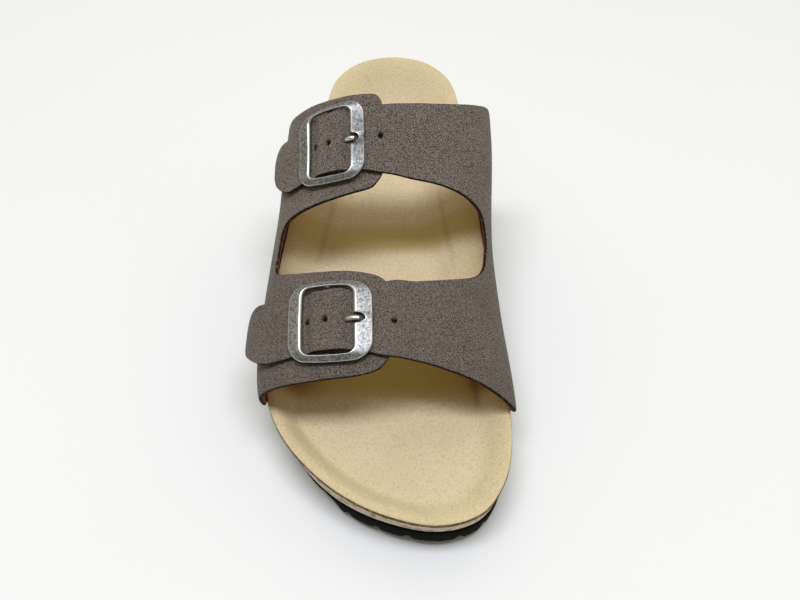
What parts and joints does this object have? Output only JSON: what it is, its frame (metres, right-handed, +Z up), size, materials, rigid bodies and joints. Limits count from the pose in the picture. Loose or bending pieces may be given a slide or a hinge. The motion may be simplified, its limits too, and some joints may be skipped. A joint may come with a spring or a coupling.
{
  "type": "sandal",
  "caption": "Right-foot slide sandal: contoured cork footbed with a suede cover, notched rubber outsole and wide nubuck straps that close over the instep with square pin buckles.",
  "frame": {"origin": "centre of the bounding box on the floor", "axes": "+Z up from the floor; +Y from the toe to the heel; +X to the big-toe side"},
  "size_m": [0.1156, 0.2716, 0.1044],
  "materials": {
    "outsole": "black moulded foam rubber, matt",
    "cork": "pressed cork, grey-beige, sealed",
    "suede": "tan suede, matt",
    "nubuck": "taupe nubuck with a fine pebbled grain, dark cut edges",
    "pewter": "antiqued silver, mottled, brighter on worn edges"
  },
  "bodies": {
    "root": {"outsole": "outsole", "cork_footbed": "cork", "insole": "suede", "upper_medial": "nubuck", "upper_lateral": "nubuck", "buckle_front_frame": "pewter", "buckle_front_prong": "pewter", "buckle_rear_frame": "pewter", "buckle_rear_prong": "pewter"}
  },
  "joints": []
}
